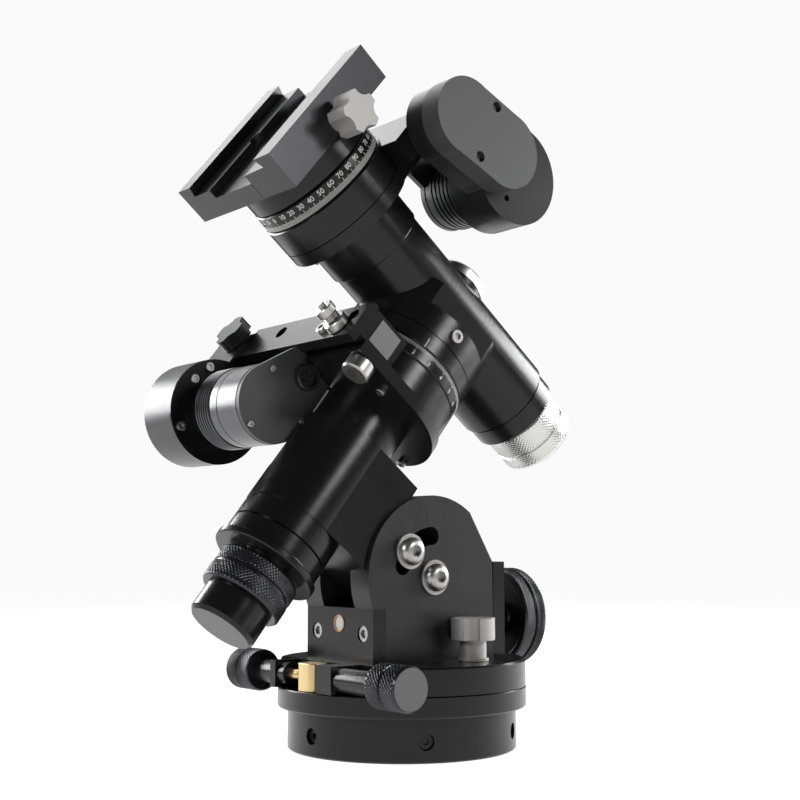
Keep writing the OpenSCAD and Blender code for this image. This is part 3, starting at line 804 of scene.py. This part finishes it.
@dataclass
class PolarAxis:
    """The polar housing with its clutch, rings and worm drive."""

    edge: float = 0.5
    clutch: float = 27.5
    ring: float = 49.1
    motor: tuple[float, float] = (-133.0, 55.0)
    ribs: int = 6
    rib_pitch: float = 2.9
    rib_start: float = -64.5
    index_turn: float = -20.0

    def build(self) -> None:
        """Dresses the nodes and makes the clutch knob, the scale, the screws and the spring post."""
        dress({
            "ra_housing": (BLACK_POLAR, self.edge), "ra_flange_plate": (BLACK_POLAR, self.edge),
            "ra_wheel_cover": (BLACK_POLAR, 0.3), "ra_lower_collar": (BLACK_POLAR, 0.3),
            "ra_bearings": (STEEL, 0.1), "tilt_bolts": (STEEL_EAST, 0.25),
            "ra_worm_housing": (BLACK_ALONG, self.edge),
            "ra_gear_case": (CAN_GREY, self.edge), "ra_gear_cover": (BLACK_EAST, 0.2),
            "polar_cover": (BLACK_POLAR, 0.5), "ra_worm": (STEEL, 0.0), "ra_idler_gear": (BRASS, 0.0),
            "ra_pinion": (STEEL, 0.0), "ra_trim_knob": (PLASTIC, 1.0),
            "ra_setting_circle": (BLACK_POLAR, 0.2), "ra_worm_wheel": (BRASS, 0.0),
            "ra_shaft": (STEEL, 0.2), "ra_index_ring": (BLACK_POLAR, 0.3),
            "ra_head": (BLACK_POLAR, self.edge),
        })
        self._clutch()
        self._motor()
        self._screws()
        self._spring_post()
        self._connector()
        Dial("ra_scale", "ra_setting_circle", POLAR, self.ring, tick_from=-54.8, tick_sign=-1,
             number_at=-61.4, number_height=3.2, divisions=288, long_every=6, number_every=12,
             label=self._hours, start=math.radians(-54.5), tick_length=2.6).build()
        self._index_mark()

    @staticmethod
    def _hours(division: int) -> str:
        """Returns the hour at a division, with twelve divisions of five minutes to the hour."""
        return str(division // 12)

    def _index_mark(self) -> None:
        """Makes the white line on the fixed ring that the hours are read against."""
        where = (POLAR @ Matrix.Rotation(math.radians(self.index_turn), 4, "Z")
                 @ Matrix.Translation(Vector((self.ring, 0, 0)) * MM)
                 @ Matrix.Rotation(math.radians(90), 4, "Z"))
        line = Shape().prism([(-0.25, -0.1), (0.25, -0.1), (0.25, 0.1), (-0.25, 0.1)], -53.4, -46, where)
        line.make("ra_index_mark", PAINT, "head", "dial_black")

    def _clutch(self) -> None:
        """Makes the knurled clutch knob and the face of the cover that it surrounds."""
        r = self.clutch
        knob = Shape().lathe(
            [(16, -250), (r - 1.4, -250), (r - 0.6, -249.2), Knurl(r, -248.6, -239, 0.7),
             (r - 1.4, -238.4), (r - 1.4, -236.6), Knurl(r, -236, -227.6, 0.7), (r - 0.6, -227),
             (r - 1.4, -226), (16, -226)], POLAR, 64, hollow=True)
        end_face("polar_cover_face", axes(EAST, SADDLE_WARD, -POLE, CROSSING), 20.4, 271.0, "polar_cover")
        knob.make("ra_clutch_grip", KNURL_BLACK, "ra_clutch_knob", "knob_black",
                  stands_for=["ra_clutch_knob"])

    def _motor(self) -> None:
        """Makes the ribbed motor barrel, its end plate, the connector's box and the worm's end plate."""
        p, u = self.motor
        rib = ((26.2, 0), (27.3, 0.3), (27.5, 0.6), (27.3, 1.5), (26.2, 1.8), (25.4, 2.1))
        ribs = [(r, self.rib_start + self.rib_pitch * i + x) for i in range(self.ribs) for r, x in rib]
        barrel = Shape().lathe(
            [(21, -80.9), (22, -80.4), (22, -66), (24, -65)] + ribs
            + [(26.2, -46.8), (26.8, -46.2), (26.8, -38.1), (26.3, -37.9), (26.3, -37.3), (26.8, -37.1),
               (26.8, -14.4), (26.4, -14.1)], eastward(0, p, u), 36)
        barrel.make("ra_motor_barrel", MOTOR_GREY, "polar_housing", "motor_grey", stands_for=["ra_motor"])
        ear = [(-94, 29.5), (-90, 33.5), (-90, 63), (-94, 67), (-112, 71.5)]
        rim = [(p + x, u + y) for x, y in polygon(96, 26.6)]
        outline = [(b - u, -(a - p)) for a, b in wrapped(rim + ear)]
        plate = Shape().prism(outline[::-1], -14, -10, eastward(0, p, u))
        plate.make("ra_motor_plate", SLATE, "polar_housing", "motor_grey", bevel=0.5)
        inner = [(-110, 33), (-95.4, 33), (-95.4, 62), (-98, 65), (-110, 66)]
        box = Shape().prism([(b - u, -(a - p)) for a, b in inner], -38, -14, eastward(0, p, u))
        box.make("ra_connector_box", BLACK_ALONG, "polar_housing", "motor_grey", bevel=0.6)
        end = Shape().prism([(-9.5, -9), (9.5, -9), (9.5, 9), (-9.5, 9)], 0, 0.5, eastward(49, -75.5, 44.5))
        end.make("ra_worm_end_plate", FACE, "polar_housing", "satin_black", bevel=0.2)

    def _screws(self) -> None:
        """Makes the small cap screws of the drive and the rings."""
        bright = Shape()
        for x, p, u, r in ((-10, -117, 70.6, 2.2), (-10, -156, 60, 2.2), (-10, -128, 32, 2.2),
                           (-81, -113.8, 79.8, 3.2), (-81, -128, 83, 3.2), (-81, -160, 70, 3.2)):
            socket_head(bright, eastward(x, p, u), r, 1.8)
        bright.make("ra_drive_screws", STEEL, "polar_housing", "steel")
        button = Shape()
        out = (EAST * 0.998 + SADDLE_WARD * 0.06).normalized()
        socket_head(button, axes(POLE, out.cross(POLE), out, at(48.2, -31, 3)), 4.6, 3.0)
        button.make("ra_head_screw", STEEL, "head", "steel")
        stop = Shape()
        socket_head(stop, axes(EAST, SADDLE_WARD, -POLE, at(42, -95.2, 45)), 9.5, 10)
        for x, u in ((38, 20.5), (-5, -46)):
            socket_head(stop, axes(EAST, SADDLE_WARD, -POLE, at(x, -95.1, u)), 3.2, 3)
        stop.make("ra_plate_screws", STEEL, "polar_housing", "steel")

    def _spring_post(self) -> None:
        """Makes the worm tension post: stud, coil spring and two nuts."""
        where = axes(EAST, POLE, SADDLE_WARD, at(31, -82.5, 68))
        post = Shape().lathe([(2.4, 0), (2.4, 19), (2, 19.6)], where)
        post.lathe([(7.4, 0.1), (8, 0.7), (8, 5.4), (7.4, 6), (2.5, 6), (2.5, 0.1)], where, 12, hollow=True)
        post.lathe([(6.2, 11.4), (6.8, 12), (6.8, 16.4), (6.2, 17), (2.5, 17), (2.5, 11.4)], where, 12,
                   hollow=True)
        post.coil(4.6, 0.65, 6.7, 10.8, 3.0, where)
        post.make("ra_tension_post", STEEL, "polar_housing", "steel")
        small = Shape()
        socket_head(small, axes(EAST, POLE, SADDLE_WARD, at(15, -83.5, 68)), 4.2, 3.4)
        small.make("ra_housing_screw", STEEL, "polar_housing", "steel")

    def _connector(self) -> None:
        """Makes the round socket on the motor's end plate."""
        where = eastward(-7, -103.2, 47.5)
        shell = Shape().lathe(
            [(9, -2.9), (9, 0.6), (8.2, 1.2), (6.9, 1.2), (6.9, -2), (4.5, -2), (4.5, -2.9)], where, 18,
            hollow=True)
        shell.make("ra_connector_shell", PLASTIC, "polar_housing", "drive_black")
        pins = Shape()
        for x, y in polygon(5, 3.4, math.radians(18)):
            pins.lathe([(0.75, -3), (0.75, 0.2), (0.4, 0.6)],
                       where @ Matrix.Translation(Vector((x, y, 0)) * MM), 4)
        pins.lathe([(6.6, -2.95), (6.6, -1.9)], where, 12)
        pins.make("ra_connector_pins", PLASTIC, "polar_housing", "drive_black")


@dataclass
class DeclinationAxis:
    """The declination tube with its clutch, rings and worm drive."""

    edge: float = 0.5
    clutch: float = 28.8
    ring: float = 47.2

    def build(self) -> None:
        """Dresses the nodes and makes the silver knobs, the scale and the screws."""
        dress({
            "dec_housing": (BLACK_DEC, self.edge), "dec_collar": (BLACK_DEC, self.edge),
            "dec_wheel_cover": (BLACK_DEC, 0.3), "dec_bearings": (STEEL, 0.1),
            "dec_lower_collar": (BLACK_DEC, 0.3), "dec_worm_housing": (BLACK_ALONG, self.edge),
            "dec_motor": (DRIVE_BLACK, 0.2), "dec_gear_case": (DRIVE_BLACK, self.edge),
            "dec_gear_cover": (SLATE, 0.8), "dec_worm": (STEEL, 0.0), "dec_idler_gear": (BRASS, 0.0),
            "dec_pinion": (STEEL, 0.0), "dec_setting_circle": (BLACK_DEC, 0.2),
            "dec_worm_wheel": (BRASS, 0.0), "dec_shaft": (BLACK_DEC, 0.3),
        })
        self._clutch()
        self._end_cap()
        self._screws()
        Dial("dec_scale", "dec_setting_circle", HEAD, self.ring, tick_from=126.8, tick_sign=1,
             number_at=135.2, number_height=3.7, divisions=360, long_every=5, number_every=10,
             label=self._degrees, start=math.radians(-89.5), tick_length=3.6).build()

    @staticmethod
    def _degrees(division: int) -> str:
        """Returns the number for a division: it runs up to 90 and back down twice round the ring."""
        turn = division % 180
        return str(turn if turn <= 90 else 180 - turn)

    def _clutch(self) -> None:
        """Makes the silver clutch knob with its two knurled bands and domed end."""
        r = self.clutch
        knob = Shape().lathe(
            [(16, -102), (r - 1.2, -102), (r - 0.6, -102.6), Knurl(r, -103.4, -117.2, 0.6),
             (r - 1.5, -117.8), (r - 1.5, -119.4), Knurl(r, -120, -129.6, 0.6), (r - 0.9, -130.4),
             (r - 3.6, -133.4), (r - 5, -134), (2, -134)], HEAD, 68)
        knob.make("dec_clutch_grip", SILVER_DEC, "dec_clutch_knob", "knurled_silver",
                  stands_for=["dec_clutch_knob"])

    def _end_cap(self) -> None:
        """Makes the silver cap at the far end of the polar axis."""
        cap = Shape().lathe(
            [(2, 30), (20, 30), (20.6, 30.6), Knurl(21, 31.2, 37.6, 0.4), (20.4, 38.2), (19.2, 39.6),
             (18.4, 40), (14, 40), (13.4, 39.4), (2, 39.4)], POLAR, 66)
        cap.make("ra_end_grip", SILVER_POLAR, "head", "knurled_silver", stands_for=["ra_end_cap"])

    def _screws(self) -> None:
        """Makes the screws of the drive cover, the motor's ear and the wheel cover."""
        deep = Shape()
        for p, u in ((85.9, 94.0), (48.3, 82.8)):
            socket_head(deep, eastward(80.1, p, u), 3.3, 4)
        deep.make("dec_cover_screws", STEEL, "head", "steel")
        ear = Shape()
        for p, u in ((52.5, 80.6), (43.2, 91.2)):
            socket_head(ear, westward(56, p, u), 2.2, 2)
        ear.make("dec_case_screws", STEEL, "head", "steel")
        under = Shape()
        socket_head(under, axes(EAST, -POLE, -SADDLE_WARD, at(1.6, -43, 95.9)), 2.6, 2.4)
        under.make("dec_plate_screw", STEEL, "head", "steel")


@dataclass
class Saddle:
    """The dovetail saddle with its jaw and clamp."""

    edge: float = 0.4

    def build(self) -> None:
        """Dresses the saddle."""
        dress({
            "saddle_body": (SLATE_SADDLE, self.edge), "saddle_jaw": (SLATE_SADDLE, self.edge),
            "saddle_clamp_knob": (CAST, 1.2),
        })


def dress(finishes: dict[str, tuple[Finish, float]]) -> None:
    """Gives frame nodes their finish and, where the width isn't 0, small rounded edges."""
    for name, (finish, edge) in finishes.items():
        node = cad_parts[name]
        node.data.materials.clear()
        node.data.materials.append(finish.material())
        if edge:
            round_edges(node, edge)
        LOG.info("dressed %s with %s", name, finish.name)


@dataclass
class Studio:
    """The floor, the lights and the camera.

    Each light is its place in metres, its width in metres and its power in watts.
    """

    lens: float = 58.45
    camera_at: tuple[float, float, float] = (0.6921, -0.5578, 0.1319)
    camera_turn: tuple[float, float, float] = (96.46, 0.0, 51.21)
    lights: tuple[tuple[tuple[float, float, float], float, float], ...] = (
        ((0.3, 1.5, 0.6), 1.1, 34.0), ((-1.5, -0.5, 0.6), 1.1, 30.0), ((-1.0, 0.25, 1.35), 1.4, 11.0),
        ((1.5, 0.5, 0.9), 0.5, 9.0), ((0.1, -1.5, 0.8), 0.5, 8.0),
    )
    light_target: tuple[float, float, float] = (0.0, 0.0, 0.25)
    light_aspect: float = 0.6
    backdrop: tuple[float, float, float, float] = (0.955, 0.95, 0.96, 1.0)
    fill: tuple[float, float, float, float] = (0.9, 0.93, 1.0, 1.0)
    fill_strength: float = 0.05
    floor_radius: float = 6.0
    floor_drop: float = 0.0005
    floor_glow: tuple[float, float, float, float] = (1.0, 0.995, 1.0, 1.0)
    floor_strength: float = 0.94

    def build(self) -> None:
        """Makes the floor, the lights, the world and the camera."""
        self._floor()
        target = Vector(self.light_target)
        for number, (place, size, watts) in enumerate(self.lights):
            data = bpy.data.lights.new(f"softbox_{number}", "AREA")
            data.shape = "RECTANGLE"
            data.size = size
            data.size_y = size * self.light_aspect
            data.energy = watts
            light = bpy.data.objects.new(data.name, data)
            light.location = place
            light.rotation_euler = (target - light.location).to_track_quat("-Z", "Y").to_euler()
            bpy.context.scene.collection.objects.link(light)
        self._world()
        bpy.context.scene.view_settings.view_transform = "Standard"
        camera = bpy.data.objects.new("camera", bpy.data.cameras.new("camera"))
        camera.data.lens = self.lens
        camera.location = self.camera_at
        camera.rotation_euler = tuple(math.radians(a) for a in self.camera_turn)
        bpy.context.scene.collection.objects.link(camera)
        bpy.context.scene.camera = camera

    def _world(self) -> None:
        """Makes a backdrop that looks white and lights the object only softly."""
        world = bpy.data.worlds.new("studio")
        graph = Graph(world)
        nodes = graph.tree.nodes
        graph.feed(nodes["Background"].inputs["Color"], self.backdrop)
        shown = Value(graph, nodes["Background"].outputs[0])
        lit = graph.out("ShaderNodeBackground", {}, {"Color": self.fill, "Strength": self.fill_strength})
        seen = graph.out("ShaderNodeLightPath", {}, {}, "Is Camera Ray")
        mixed = graph.out("ShaderNodeMixShader", {}, {"Fac": seen, 1: lit, 2: shown})
        graph.feed(nodes["World Output"].inputs["Surface"], mixed)
        bpy.context.scene.world = world

    def _floor(self) -> None:
        """Makes a pale round floor that glows a little, so that it runs into the backdrop."""
        rim = polygon(64, self.floor_radius)
        mesh = bpy.data.meshes.new("floor")
        mesh.from_pydata([(x, y, -self.floor_drop) for x, y in rim], [], [tuple(range(len(rim)))])
        paper = Finish("floor_paper", (0.2, 0.2, 0.2), 0.0, 0.8, 0.05, pitch=2.0, bump=0.01,
                       contrast=0.02).material()
        shader = paper.node_tree.nodes["Principled BSDF"].inputs
        shader["Emission Color"].default_value = self.floor_glow
        shader["Emission Strength"].default_value = self.floor_strength
        mesh.materials.append(paper)
        floor = bpy.data.objects.new("floor", mesh)
        bpy.context.scene.collection.objects.link(floor)


def main() -> None:
    """Builds the studio and every sub-assembly."""
    logging.basicConfig(level=logging.INFO)
    Studio().build()
    Base().build()
    AzimuthFrame().build()
    PolarAxis().build()
    DeclinationAxis().build()
    Saddle().build()


if __name__ == "__main__":
    main()
